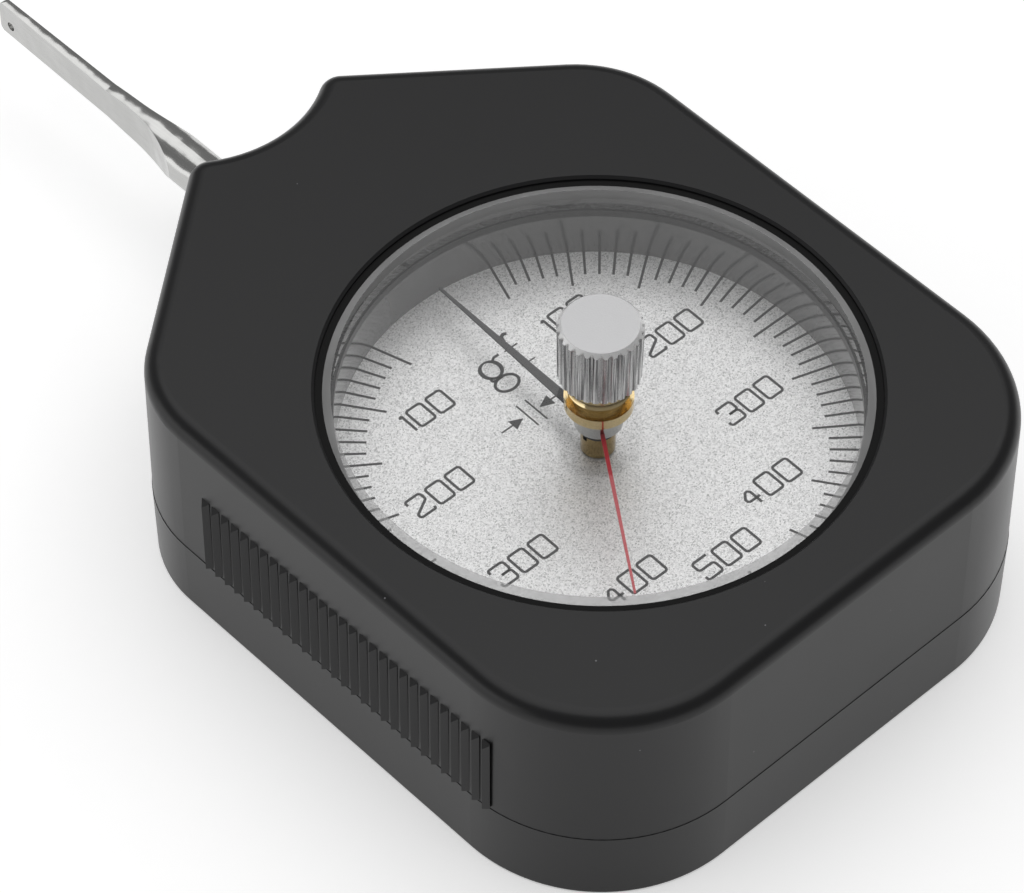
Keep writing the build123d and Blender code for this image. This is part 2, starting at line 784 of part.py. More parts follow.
def pointer_hub():
    """Brass hub pressed on the arbor, with a screwdriver slot across its top."""
    bottom = dial_face + pointer_hub_lift
    top = bottom + pointer_hub_height
    hub = washer_disc(pointer_hub_radius, pointer_neck_radius, bottom, top)
    slot = Pos(0, 0, top) * Box(3 * pointer_hub_radius, pointer_hub_slot, 2 * pointer_hub_slot_depth)
    blade = dial_face + pointer_height
    hub -= washer_disc(pointer_hub_radius, pointer_seat_radius(), blade, blade + pointer_thickness)
    return Rot(0, 0, pointer_setting) * (hub - slot)


def pointer_seat_radius():
    """Narrow part of the hub that the pointer's eye grips."""
    return (pointer_hub_radius + pointer_neck_radius) / 2


def needle(root_width, tip_width, reach):
    """Tapered blade outline that points along +Y."""
    outline = [
        (-root_width / 2, 0),
        (root_width / 2, 0),
        (tip_width / 2, reach),
        (-tip_width / 2, reach),
    ]
    return make_face(Polyline(*outline, close=True))


def main_pointer():
    face = Circle(pointer_hub_radius) + needle(pointer_root_width, pointer_tip_width, pointer_reach)
    face -= Circle(pointer_seat_radius())
    bottom = dial_face + pointer_height
    return Rot(0, 0, pointer_setting) * slab(face, bottom, bottom + pointer_thickness)


# ---- Peak pointer ----------------------------------------------------------------------
def lens_bushing():
    """Flanged brass bushing, clamped in the lens, that the knob's shaft turns in."""
    flange_bottom = lens_underside - bushing_flange_height
    body = rod(bushing_flange_radius, flange_bottom, lens_underside)
    body += rod(bushing_stem_radius, flange_bottom, bushing_top)
    return body - rod(peak_shaft_radius + peak_shaft_clearance, flange_bottom, bushing_top)


def bushing_nut():
    """Waisted brass nut on the outside of the lens."""
    with BuildSketch(Plane.XZ) as profile:
        with BuildLine():
            Polyline((nut_foot_radius, lens_top), (bushing_stem_radius, lens_top),
                     (bushing_stem_radius, bushing_top), (nut_top_radius, bushing_top))
            ThreePointArc((nut_top_radius, bushing_top),
                          (nut_waist_radius, lens_top + 0.45 * nut_height),
                          (nut_foot_radius, lens_top))
        make_face()
    return revolve(profile.sketch, Axis.Z)


def friction_washer():
    """Thin washer between the nut and the knob, so that the knob stays where it is turned to."""
    inner = peak_shaft_radius + hole_clearance
    return washer_disc(washer_radius, inner, bushing_top, washer_top)


def fluted_outline():
    """Knob section with straight flutes."""
    points = []
    step = 2 * math.pi / knob_flutes
    for i in range(knob_flutes):
        for share, depth in ((0.0, 0.0), (0.3, 0.0), (0.55, knob_flute_depth), (0.75, knob_flute_depth)):
            angle = (i + share) * step
            radius = knob_radius - depth
            points.append((radius * math.cos(angle), radius * math.sin(angle)))
    return make_face(Polyline(*points, close=True))


def reset_knob():
    """Aluminium knob: fluted, slightly narrower at its foot, with a bevelled top."""
    with BuildSketch(Plane.XZ) as profile:
        with BuildLine():
            Polyline((0, knob_bottom), (knob_foot_radius, knob_bottom),
                     (knob_radius, knob_top - knob_bevel), (knob_radius - knob_bevel, knob_top),
                     (0, knob_top), (0, knob_bottom))
        make_face()
    body = revolve(profile.sketch, Axis.Z) & slab(fluted_outline(), knob_bottom, knob_top)
    return body - rod(peak_shaft_radius, knob_bottom, knob_bottom + knob_shaft_depth)


def peak_shaft():
    return rod(peak_shaft_radius, drag_hub_top - drag_hub_height, knob_bottom + knob_shaft_depth)


def drag_hub():
    """Plated hub on the knob's shaft, under the lens, cast round the red pointer's eye."""
    bottom = drag_hub_top - drag_hub_height
    return washer_disc(drag_hub_radius, peak_shaft_radius, bottom, drag_hub_top) - drag_pointer()


def drag_pointer():
    """Red peak pointer, with an eye inside the hub's skin."""
    eye_radius = drag_hub_radius - drag_hub_skin
    face = Circle(eye_radius)
    face += needle(drag_pointer_width, drag_pointer_tip_width, drag_pointer_reach)
    face -= Circle((eye_radius + peak_shaft_radius) / 2)
    bottom = dial_face + drag_pointer_height
    return Rot(0, 0, drag_pointer_angle) * slab(face, bottom, bottom + drag_pointer_thickness)


# ---- Nodes -----------------------------------------------------------------------------
nodes = {
    "upper_housing": upper_housing(),
    "back_cover": back_cover(),
    "case_screws": case_screws(),
    "lens": lens(),
    "lens_seal": lens_seal(),
    "dial_ring": dial_ring(),
    "dial_plate": dial_plate(),
    "dial_feet": dial_feet(),
    "front_plate": front_plate(),
    "rear_plate": rear_plate(),
    "pillars": pillars(),
    "front_plate_screws": plate_screws(front_plate_top, up=True),
    "rear_plate_screws": plate_screws(rear_plate_bottom, up=False),
    "movement_screws": movement_screws(),
    "pointer_front_bush": bush(front_plate_bottom, pointer_neck_radius, 0),
    "pointer_rear_bush": bush(rear_plate_bottom, pointer_pivot_radius, 0),
    "lever_front_bush": bush(front_plate_bottom, lever_pivot_radius, lever_pivot),
    "lever_rear_bush": bush(rear_plate_bottom, lever_pivot_radius, lever_pivot),
    "stop_pins": stop_pins(),
    "spring_post": spring_post(),
    "hairspring_stud": hairspring_stud(),
    "measuring_lever": measuring_lever(),
    "lever_hub": lever_hub(),
    "lever_set_screw": lever_set_screw(),
    "lever_arbor": PIVOT * arbor(lever_pivot_radius, lever_arbor_radius, lever_pivot_radius,
                                 front_plate_top),
    "sector_gear": sector_gear(),
    "sector_rivets": sector_rivets(),
    "drive_pin": drive_pin(),
    "centring_spring": centring_spring(),
    "pointer_arbor": arbor(pointer_pivot_radius, pointer_arbor_radius, pointer_neck_radius,
                           dial_face + pointer_hub_lift + pointer_hub_height - pointer_hub_slot_depth),
    "pinion": pinion(),
    "hairspring_collet": collet(),
    "hairspring": hairspring(),
    "pointer_hub": pointer_hub(),
    "main_pointer": main_pointer(),
    "lens_bushing": lens_bushing(),
    "bushing_nut": bushing_nut(),
    "friction_washer": friction_washer(),
    "reset_knob": reset_knob(),
    "peak_shaft": peak_shaft(),
    "drag_hub": drag_hub(),
    "drag_pointer": drag_pointer(),
}

os.makedirs("parts", exist_ok=True)
for name, shape in nodes.items():
    export_step(shape, f"parts/{name}.step")
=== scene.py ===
import math

import bpy
from mathutils import Matrix, Vector


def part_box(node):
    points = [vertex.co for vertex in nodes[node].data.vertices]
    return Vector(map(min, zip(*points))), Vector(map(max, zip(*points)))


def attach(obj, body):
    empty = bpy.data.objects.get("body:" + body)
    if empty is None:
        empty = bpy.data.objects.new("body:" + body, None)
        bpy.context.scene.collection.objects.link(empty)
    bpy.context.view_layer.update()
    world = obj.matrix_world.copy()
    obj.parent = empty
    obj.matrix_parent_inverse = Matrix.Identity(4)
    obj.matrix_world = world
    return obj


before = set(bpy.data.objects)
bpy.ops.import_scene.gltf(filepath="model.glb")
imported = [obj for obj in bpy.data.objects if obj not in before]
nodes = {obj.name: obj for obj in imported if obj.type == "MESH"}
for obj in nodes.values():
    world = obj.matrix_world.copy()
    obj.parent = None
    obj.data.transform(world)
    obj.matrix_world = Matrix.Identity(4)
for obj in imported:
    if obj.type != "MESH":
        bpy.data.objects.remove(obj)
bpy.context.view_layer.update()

scene = bpy.context.scene
MM = 0.001

# ---- Places taken from the CAD pieces --------------------------------------------------
dial_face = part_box("dial_plate")[1].z
lens_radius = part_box("lens")[1].x
knob_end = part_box("reset_knob")[1].z
lever_pivot = sum(corner.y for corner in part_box("lever_arbor")) / 2
LENS_RIM = 0.78 * MM               # width of the lens's bevel and a sliver of its flat face, where a pale rim light is painted
KNOB_BEVEL = 0.42 * MM             # height of the bevel round the knob's end, which is rougher and carries a painted highlight
FACE_MARGIN = 0.01 * MM            # takes in a flat face that a comparison might just miss

# ---- Dial print, in millimetres from the dial's axis -----------------------------------
DIAL_TURN = math.radians(-1.0)     # the dial sits a little clockwise in its case
INK_THICKNESS = 0.02

TICK_PITCH = math.radians(3.6)     # 10 gf
FIRST_TICK = 5                     # the scale starts at 50 gf, 18 degrees from the top
TICK_COUNT = 91                    # round to 50 gf on the other side
TICKS_PER_LONG = 5
TICK_OUTER_RADIUS = 24.3
SHORT_TICK_LENGTH = 2.9
LONG_TICK_LENGTH = 4.3
TICK_WIDTH = 0.25

DIGIT_WIDTH = 2.06
DIGIT_HEIGHT = 2.63
DIGIT_PITCH = 2.4
DIGIT_STROKE = 0.27
DIGIT_CORNER = 0.3
ONE_WIDTH = 0.6
ARROW_POINT = 0.02                 # width left at an arrow's tip

NUMERAL_PLACES = {
    "100": [(-8.9, 13.8), (8.9, 13.8)],
    "200": [(-14.5, 5.65), (14.5, 5.65)],
    "300": [(-14.25, -5.4), (14.25, -5.4)],
    "400": [(-8.55, -13.8), (8.55, -13.8)],
    "500": [(0.0, -17.2)],
}

# ---- Camera ----------------------------------------------------------------------------
VIEW_AZIMUTH = math.radians(-43.278)
VIEW_ELEVATION = math.radians(49.875)
VIEW_ROLL = math.radians(0.143)
VIEW_AIM = Vector((-8.72, 2.31, 21.88)) * MM
VIEW_DISTANCE = 447.93 * MM
VIEW_LENS = 172.93                 # millimetres
VIEW_SENSOR_WIDTH = 36             # millimetres
VIEW_NEAR, VIEW_FAR = 0.01, 10     # metres between which the camera sees


# ---- Node trees ------------------------------------------------------------------------
def add(tree, kind, sockets=None, **settings):
    """Adds a node. sockets maps an input's name or number to a value, an output or a node."""
    node = tree.nodes.new(kind)
    for name, value in settings.items():
        setattr(node, name, value)
    for key, value in (sockets or {}).items():
        if isinstance(key, int):
            socket = node.inputs[key]
        else:
            socket = next(s for s in node.inputs if s.enabled and s.name == key)
        if isinstance(value, bpy.types.Node):
            value = next(s for s in value.outputs if s.enabled)
        if isinstance(value, bpy.types.NodeSocket):
            tree.links.new(value, socket)
        else:
            socket.default_value = value
    return node


def srgb(text):
    """Linear colour of a hex sRGB one."""
    def linear(pair):
        value = int(pair, 16) / 255
        return value / 12.92 if value <= 0.04045 else ((value + 0.055) / 1.055) ** 2.4

    return (linear(text[1:3]), linear(text[3:5]), linear(text[5:7]), 1.0)


def per_metre(size_mm):
    """Texture scale that makes a pattern's features about size_mm across."""
    return 1 / (size_mm * MM)


def new_material(name):
    """Empty material, its tree and the Object coordinates in it."""
    material = bpy.data.materials.new(name)
    material.use_nodes = True
    tree = material.node_tree
    tree.nodes.clear()
    coordinates = add(tree, "ShaderNodeTexCoord").outputs["Object"]
    return material, tree, coordinates


def around_axis(tree, coordinates, axis_y=0.0):
    """Coordinates in which lathe marks are straight: distance from an upright axis at axis_y,
    and height."""
    centred = add(tree, "ShaderNodeVectorMath", {0: coordinates, 1: (0, axis_y, 0)},
                  operation="SUBTRACT")
    parts = add(tree, "ShaderNodeSeparateXYZ", {0: centred})
    flat = add(tree, "ShaderNodeCombineXYZ", {0: parts.outputs[0], 1: parts.outputs[1]})
    radius = add(tree, "ShaderNodeVectorMath", {0: flat}, operation="LENGTH").outputs["Value"]
    return add(tree, "ShaderNodeCombineXYZ", {0: radius, 1: parts.outputs[2]})


# ---- Materials -------------------------------------------------------------------------
def spark_textured_abs():
    """Black ABS moulded in a spark-eroded tool: a satin black whose grain just breaks up the
    reflections, with a few specks of dust. The grain of about 0.1 mm is drawn a little coarser."""
    material, tree, at = new_material("spark_textured_abs")
    grain = add(tree, "ShaderNodeTexNoise", {"Vector": at, "Scale": per_metre(0.16), "Detail": 3})
    cloud = add(tree, "ShaderNodeTexNoise", {"Vector": at, "Scale": per_metre(9.0), "Detail": 2})
    tone = add(tree, "ShaderNodeMix", {"Factor": cloud, "A": srgb("#161617"), "B": srgb("#1b1b1c")},
               data_type="RGBA")
    cells = add(tree, "ShaderNodeTexVoronoi", {"Vector": at, "Scale": per_metre(1.7)})
    near = add(tree, "ShaderNodeMath", {0: cells.outputs["Distance"], 1: 0.05},
               operation="LESS_THAN")
    rare = add(tree, "ShaderNodeSeparateColor", {0: cells.outputs["Color"]})
    some = add(tree, "ShaderNodeMath", {0: rare.outputs["Red"], 1: 0.93}, operation="GREATER_THAN")
    dust = add(tree, "ShaderNodeMath", {0: near, 1: some}, operation="MULTIPLY")
    colour = add(tree, "ShaderNodeMix", {"Factor": dust, "A": tone, "B": srgb("#77777a")},
                 data_type="RGBA")
    gloss = add(tree, "ShaderNodeMapRange", {"Value": cloud, "To Min": 0.30, "To Max": 0.36})
    bump = add(tree, "ShaderNodeBump", {"Strength": 0.3, "Distance": 0.01 * MM, "Height": grain})
    shader = add(tree, "ShaderNodeBsdfPrincipled",
                 {"Base Color": colour, "Roughness": gloss, "IOR": 1.5,
                  "Specular IOR Level": 0.33, "Normal": bump})
    add(tree, "ShaderNodeOutputMaterial", {"Surface": shader})
    return material


def etched_silver():
    """Brass dial, etched and silvered: pale grey metal whose crystals flash light and dark. They
    are drawn at 0.12 mm, about twice their real size, so that they show."""
    material, tree, at = new_material("etched_silver")
    crystals = add(tree, "ShaderNodeTexVoronoi", {"Vector": at, "Scale": per_metre(0.12)})
    pick = add(tree, "ShaderNodeSeparateColor", {0: crystals.outputs["Color"]})
    tone = add(tree, "ShaderNodeMath", {0: pick.outputs["Red"], 1: 0.4}, operation="POWER")
    colour = add(tree, "ShaderNodeMix",
                 {"Factor": tone, "A": srgb("#989898"), "B": srgb("#ffffff")}, data_type="RGBA")
    bump = add(tree, "ShaderNodeBump",
               {"Strength": 0.2, "Distance": 0.02 * MM, "Height": crystals.outputs["Distance"]})
    shader = add(tree, "ShaderNodeBsdfPrincipled",
                 {"Base Color": colour, "Metallic": 0.55, "Roughness": 0.45, "Normal": bump})
    add(tree, "ShaderNodeOutputMaterial", {"Surface": shader})
    return material


def screen_printed_ink():
    """Black screen ink: matt, slightly uneven in density."""
    material, tree, at = new_material("screen_printed_ink")
    density = add(tree, "ShaderNodeTexNoise", {"Vector": at, "Scale": per_metre(0.3), "Detail": 2})
    colour = add(tree, "ShaderNodeMix",
                 {"Factor": density, "A": srgb("#202022"), "B": srgb("#2c2c2e")}, data_type="RGBA")
    shader = add(tree, "ShaderNodeBsdfPrincipled", {"Base Color": colour, "Roughness": 0.6})
    add(tree, "ShaderNodeOutputMaterial", {"Surface": shader})
    return material


def polished_grey_abs():
    """Grey ABS moulded in a polished tool: it mirrors the dial faintly."""
    material, tree, at = new_material("polished_grey_abs")
    wave = add(tree, "ShaderNodeTexNoise", {"Vector": at, "Scale": per_metre(3.0), "Detail": 1})
    colour = add(tree, "ShaderNodeMix",
                 {"Factor": wave, "A": srgb("#4a4a4a"), "B": srgb("#4f4f4f")}, data_type="RGBA")
    bump = add(tree, "ShaderNodeBump", {"Strength": 0.1, "Distance": 0.02 * MM, "Height": wave})
    shader = add(tree, "ShaderNodeBsdfPrincipled",
                 {"Base Color": colour, "Roughness": 0.12, "IOR": 1.55,
                  "Specular IOR Level": 1.0, "Normal": bump})
    add(tree, "ShaderNodeOutputMaterial", {"Surface": shader})
    return material


def clear_acrylic():
    """Moulded acrylic: nearly invisible where it is flat, with a pale grey rim painted on, which
    stands for the light that its bevel gathers.
    """
    material, tree, at = new_material("clear_acrylic")
    clear = add(tree, "ShaderNodeBsdfTransparent", {"Color": srgb("#fefefe")})
    gloss = add(tree, "ShaderNodeBsdfGlossy", {"Color": srgb("#ffffff"), "Roughness": 0.02})
    mirror = add(tree, "ShaderNodeFresnel", {"IOR": 1.49})
    inside = add(tree, "ShaderNodeNewGeometry").outputs["Backfacing"]
    share = add(tree, "ShaderNodeMath", {0: mirror, 1: inside}, operation="MULTIPLY")
    front = add(tree, "ShaderNodeMath", {0: mirror, 1: share}, operation="SUBTRACT")
    window = add(tree, "ShaderNodeMixShader", {0: front, 1: clear, 2: gloss})
    # Painted light: the rim gets a pale grey, mottled colour that stands for the light its bevel
    # gathers.
    rim_light_mottle = add(tree, "ShaderNodeTexNoise", {"Vector": at, "Scale": per_metre(5.0), "Detail": 2})
    tint = add(tree, "ShaderNodeMix",
               {"Factor": rim_light_mottle, "A": srgb("#9a9a9a"), "B": srgb("#c0c0c0")}, data_type="RGBA")
    pale_rim_painted_light = add(tree, "ShaderNodeBsdfPrincipled",
                  {"Base Color": tint, "Roughness": 0.2, "IOR": 1.49})
    rim = add(tree, "ShaderNodeMixShader", {0: 0.55, 1: window, 2: pale_rim_painted_light})
    place = add(tree, "ShaderNodeSeparateXYZ", {0: around_axis(tree, at)})
    edge = add(tree, "ShaderNodeMath", {0: place.outputs[0], 1: lens_radius - LENS_RIM},
               operation="GREATER_THAN")
    shader = add(tree, "ShaderNodeMixShader", {0: edge, 1: window, 2: rim})
    add(tree, "ShaderNodeOutputMaterial", {"Surface": shader})
    return material


def moulded_rubber():
    """Black nitrile rubber: matt and nearly without reflections."""
    material, tree, at = new_material("moulded_rubber")
    skin = add(tree, "ShaderNodeTexNoise", {"Vector": at, "Scale": per_metre(0.25), "Detail": 2})
    colour = add(tree, "ShaderNodeMix",
                 {"Factor": skin, "A": srgb("#080808"), "B": srgb("#101010")}, data_type="RGBA")
    bump = add(tree, "ShaderNodeBump", {"Strength": 0.3, "Distance": 0.02 * MM, "Height": skin})
    shader = add(tree, "ShaderNodeBsdfPrincipled",
                 {"Base Color": colour, "Roughness": 0.6, "IOR": 1.52,
                  "Specular IOR Level": 0.15, "Normal": bump})
    add(tree, "ShaderNodeOutputMaterial", {"Surface": shader})
    return material


def turned_metal(name, light, dark, roughness, mark_mm, mark_depth_mm, axis_y=0.0):
    """Metal turned about an upright axis: fine rings from the tool catch the light. They are
    drawn coarser than the tool's real feed, so that they show."""
    material, tree, at = new_material(name)
    rings = add(tree, "ShaderNodeTexNoise",
                {"Vector": around_axis(tree, at, axis_y), "Scale": per_metre(mark_mm), "Detail": 3})
    stain = add(tree, "ShaderNodeTexNoise", {"Vector": at, "Scale": per_metre(1.2), "Detail": 3})
    colour = add(tree, "ShaderNodeMix", {"Factor": stain, "A": srgb(light), "B": srgb(dark)},
                 data_type="RGBA")
    gloss = add(tree, "ShaderNodeMapRange",
                {"Value": rings, "To Min": 0.8 * roughness, "To Max": 1.25 * roughness})
    bump = add(tree, "ShaderNodeBump",
               {"Strength": 0.6, "Distance": mark_depth_mm * MM, "Height": rings})
    shader = add(tree, "ShaderNodeBsdfPrincipled",
                 {"Base Color": colour, "Metallic": 1.0, "Roughness": gloss, "Normal": bump})
    add(tree, "ShaderNodeOutputMaterial", {"Surface": shader})
    return material


def knurled_aluminium():
    """Aluminium, faced on a lathe and knurled: an even satin end, above a bevel painted white as a
    highlight where it catches the light, and flutes that the knurling wheel has streaked light and
    dark."""
    material, tree, at = new_material("knurled_aluminium")
    place = add(tree, "ShaderNodeSeparateXYZ", {0: at})
    end = add(tree, "ShaderNodeMath", {0: place.outputs[2], 1: knob_end - FACE_MARGIN},
              operation="GREATER_THAN")
    bevel_with_painted_highlight = add(tree, "ShaderNodeMath", {0: place.outputs[2], 1: knob_end - KNOB_BEVEL},
                operation="GREATER_THAN")
    drawn = add(tree, "ShaderNodeMapping", {"Vector": at, "Scale": (1.0, 1.0, 0.02)})
    streaks = add(tree, "ShaderNodeTexNoise",
                  {"Vector": drawn, "Scale": per_metre(0.16), "Detail": 2})
    strong = add(tree, "ShaderNodeMapRange",
                 {"Value": streaks, "From Min": 0.35, "From Max": 0.65})
    flutes = add(tree, "ShaderNodeMix",
                 {"Factor": strong, "A": srgb("#8c8c8d"), "B": srgb("#ffffff")}, data_type="RGBA")
    # Painted highlight: the bevel is coloured white so that it shows bright, standing for the light
    # it catches.
    side = add(tree, "ShaderNodeMix", {"Factor": bevel_with_painted_highlight, "A": flutes, "B": srgb("#ffffff")},
               data_type="RGBA")
    colour = add(tree, "ShaderNodeMix", {"Factor": end, "A": side, "B": srgb("#c6c6c7")},
                 data_type="RGBA")
    gloss = add(tree, "ShaderNodeMapRange", {"Value": bevel_with_painted_highlight, "To Min": 0.16, "To Max": 0.4})
    bump = add(tree, "ShaderNodeBump", {"Strength": 0.5, "Distance": 0.02 * MM, "Height": streaks})
    shader = add(tree, "ShaderNodeBsdfPrincipled",
                 {"Base Color": colour, "Metallic": 1.0, "Roughness": gloss, "Normal": bump})
    add(tree, "ShaderNodeOutputMaterial", {"Surface": shader})
    return material


def polished_nickel():
    """Steel, hand polished and nickel plated: a mirror that is a little wavy."""
    material, tree, at = new_material("polished_nickel")
    waves = add(tree, "ShaderNodeTexNoise", {"Vector": at, "Scale": per_metre(2.5), "Detail": 1})
    marks = add(tree, "ShaderNodeMapping", {"Vector": at, "Scale": (1.0, 0.04, 1.0)})
    scratches = add(tree, "ShaderNodeTexNoise",
                    {"Vector": marks, "Scale": per_metre(0.12), "Detail": 3})
    colour = add(tree, "ShaderNodeMix",
                 {"Factor": scratches, "A": srgb("#b2b2b1"), "B": srgb("#c4c4c2")},
                 data_type="RGBA")
    gloss = add(tree, "ShaderNodeMapRange", {"Value": scratches, "To Min": 0.14, "To Max": 0.24})
    bump = add(tree, "ShaderNodeBump", {"Strength": 0.8, "Distance": 0.25 * MM, "Height": waves})
    shader = add(tree, "ShaderNodeBsdfPrincipled",
                 {"Base Color": colour, "Metallic": 1.0, "Roughness": gloss, "Normal": bump})
    add(tree, "ShaderNodeOutputMaterial", {"Surface": shader})
    return material


def baked_enamel(name, light, dark, roughness):
    """Thin baked enamel on sheet metal: even colour with a slight orange peel."""
    material, tree, at = new_material(name)
    peel = add(tree, "ShaderNodeTexNoise", {"Vector": at, "Scale": per_metre(0.4), "Detail": 2})
    colour = add(tree, "ShaderNodeMix", {"Factor": peel, "A": srgb(light), "B": srgb(dark)},
                 data_type="RGBA")
    bump = add(tree, "ShaderNodeBump", {"Strength": 0.2, "Distance": 0.01 * MM, "Height": peel})
    shader = add(tree, "ShaderNodeBsdfPrincipled",
                 {"Base Color": colour, "Roughness": roughness, "IOR": 1.5, "Normal": bump})
    add(tree, "ShaderNodeOutputMaterial", {"Surface": shader})
    return material


# ---- Ink strokes, in millimetres -------------------------------------------------------
def rounded(points, radius, closed=False, steps=4):
    """Path with its corners rounded."""
    path = []
    count = len(points)
    for i, here in enumerate(points):
        corner = Vector(here)
        if not closed and i in (0, count - 1):
            path.append(corner)
            continue
        before, after = Vector(points[i - 1]) - corner, Vector(points[(i + 1) % count]) - corner
        half = before.angle(after) / 2
        reach = min(radius / math.tan(half), 0.49 * before.length, 0.49 * after.length)
        bend = reach * math.tan(half)
        centre = corner + (before.normalized() + after.normalized()).normalized() * (
            bend / math.sin(half))
        start, end = corner + before.normalized() * reach, corner + after.normalized() * reach
        for step in range(steps + 1):
            ray = (start - centre).lerp(end - centre, step / steps)
            path.append(centre + ray.normalized() * bend)
    return path


def ink_stroke(path, widths, closed=False):
    """Points and faces of a flat ribbon of ink along a path, with a width at each point."""
    points, faces = [], []
    count = len(path)
    for i, here in enumerate(path):
        ahead = path[(i + 1) % count] if closed or i < count - 1 else here
        behind = path[i - 1] if closed or i > 0 else here
        along = ((ahead - here).normalized() + (here - behind).normalized()).normalized()
        side = Vector((-along.y, along.x)) * widths[i] / 2
        left, right = here + side, here - side
        points += [(left.x, left.y, 0), (right.x, right.y, 0),
                   (right.x, right.y, INK_THICKNESS), (left.x, left.y, INK_THICKNESS)]
    for i in range(count if closed else count - 1):
        a, b = 4 * i, 4 * ((i + 1) % count)
        for k in range(4):
            n = (k + 1) % 4
            faces.append((a + k, a + n, b + n, b + k))
    if not closed:
        end = 4 * (count - 1)
        faces += [(3, 2, 1, 0), (end, end + 1, end + 2, end + 3)]
    return points, faces


def oval(x, y, half_width, half_height, steps=32):
    """Closed path round an ellipse."""
    turn = 2 * math.pi / steps
    return [Vector((x + half_width * math.cos(i * turn), y + half_height * math.sin(i * turn)))
            for i in range(steps)]


def stroke_through(corners, width):
    """Ribbon of ink of one width, with its corners rounded."""
    path = rounded(corners, width)
    return ink_stroke(path, [width] * len(path))


# ---- Pieces of print on the dial -------------------------------------------------------
ink = screen_printed_ink()


def print_on_dial(name, mesh):
    """Object at the origin that holds a mesh of ink and rides with the case."""
    piece = bpy.data.objects.new(name, mesh)
    scene.collection.objects.link(piece)
    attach(piece, "case")


def printed(name, strokes):
    """One piece of ink on the dial's face from many strokes."""
    points, faces = [], []
    height = dial_face / MM
    turn = Matrix.Rotation(DIAL_TURN, 2)
    for stroke_points, stroke_faces in strokes:
        start = len(points)
        for x, y, z in stroke_points:
            flat = turn @ Vector((x, y))
            points.append((flat.x, flat.y, height + z))
        faces += [tuple(start + k for k in face) for face in stroke_faces]
    mesh = bpy.data.meshes.new(name)
    mesh.from_pydata([Vector(point) * MM for point in points], [], faces)
    mesh.materials.append(ink)
    print_on_dial(name, mesh)


def digit_paths(digit):
    """Centrelines of one digit, from its lower left corner, and whether each is closed."""
    right, top = DIGIT_WIDTH - DIGIT_STROKE, DIGIT_HEIGHT - DIGIT_STROKE
    middle, hook = top / 2, 0.2 * top
    if digit == "0":
        return [([(0, 0), (right, 0), (right, top), (0, top)], True)]
    if digit == "1":
        stem = ONE_WIDTH - DIGIT_STROKE
        flag = 1.1 * stem
        return [([(stem, 0), (stem, top), (0, top - flag)], False)]
    if digit == "2":
        neck, toe = 0.62 * top, 0.6 * hook
        return [([(0, top - hook), (0, top), (right, top), (right, neck), (0, hook), (0, 0),
                  (right, 0), (right, toe)], False)]
    if digit == "3":
        inner = 0.4 * right
        return [([(0, top - hook), (0, top), (right, top), (right, middle), (inner, middle)],
                 False),
                ([(inner, middle), (right, middle), (right, 0), (0, 0), (0, hook)], False)]
    if digit == "4":
        stem, bar = 0.76 * right, 0.3 * top
        return [([(right, bar), (0, bar), (stem, top), (stem, 0)], False)]
    shelf = 0.55 * top
    return [([(right, top), (0, top), (0, shelf), (right, shelf), (right, 0), (0, 0),
              (0, hook)], False)]


def numeral_strokes(text, x, y):
    """Ink strokes of a number centred on a place."""
    widths = [ONE_WIDTH if digit == "1" else DIGIT_WIDTH for digit in text]
    gap = DIGIT_PITCH - DIGIT_WIDTH
    left = x - (sum(widths) + gap * (len(text) - 1)) / 2 + DIGIT_STROKE / 2
    bottom = y - DIGIT_HEIGHT / 2 + DIGIT_STROKE / 2
    strokes = []
    for digit, width in zip(text, widths):
        for corners, closed in digit_paths(digit):
            path = rounded([(left + a, bottom + b) for a, b in corners], DIGIT_CORNER, closed)
            strokes.append(ink_stroke(path, [DIGIT_STROKE] * len(path), closed))
        left += width + gap
    return strokes


def dial_numerals():
    """The scale's numbers, at their places on both sides."""
    strokes = []
    for text, places in NUMERAL_PLACES.items():
        for x, y in places:
            strokes += numeral_strokes(text, x, y)
    printed("dial_numerals", strokes)


def unit_letters():
    """The unit, gram-force, in upright serif letters."""
    bowl = oval(-1.13, 13.5, 1.02, 1.08)
    loop = oval(-1.05, 11.33, 1.25, 0.93)
    heavy, light = 0.42, 0.2
    bowl_widths = [light + (heavy - light) * abs(math.cos(2 * math.pi * i / len(bowl)))
                   for i in range(len(bowl))]
    loop_width = 0.3
    g_neck = [(-1.75, 12.75), (-2.1, 12.35), (-1.6, 12.2), (-0.9, 12.2)]
    g_ear = [(-0.35, 14.2), (0.1, 14.5), (0.7, 14.48)]
    f_stem = [(2.12, 11.9), (2.12, 15.3), (2.35, 15.95), (2.75, 16.1), (3.0, 15.9)]
    f_foot = [(1.35, 11.93), (3.0, 11.93)]
    f_bar = [(1.35, 14.35), (2.95, 14.35)]
    strokes = [ink_stroke(bowl, bowl_widths, True),
               ink_stroke(loop, [loop_width] * len(loop), True)]
    for corners, width in ((g_neck, 0.28), (g_ear, 0.26), (f_stem, 0.36), (f_foot, 0.15),
                           (f_bar, 0.17)):
        strokes.append(stroke_through(corners, width))
    printed("unit_letters", strokes)


def arrow_strokes(tip, tail, head_length, head_width, shaft_width):
    """Arrow from tail to tip, both along X from the dial's middle line."""
    way = 1 if tip[0] > tail[0] else -1
    neck = Vector((tip[0] - way * head_length, tip[1]))
    head = ink_stroke([neck, Vector(tip)], [head_width, ARROW_POINT])
    shaft = ink_stroke([Vector(tail), neck], [shaft_width] * 2)
    return [head, shaft]


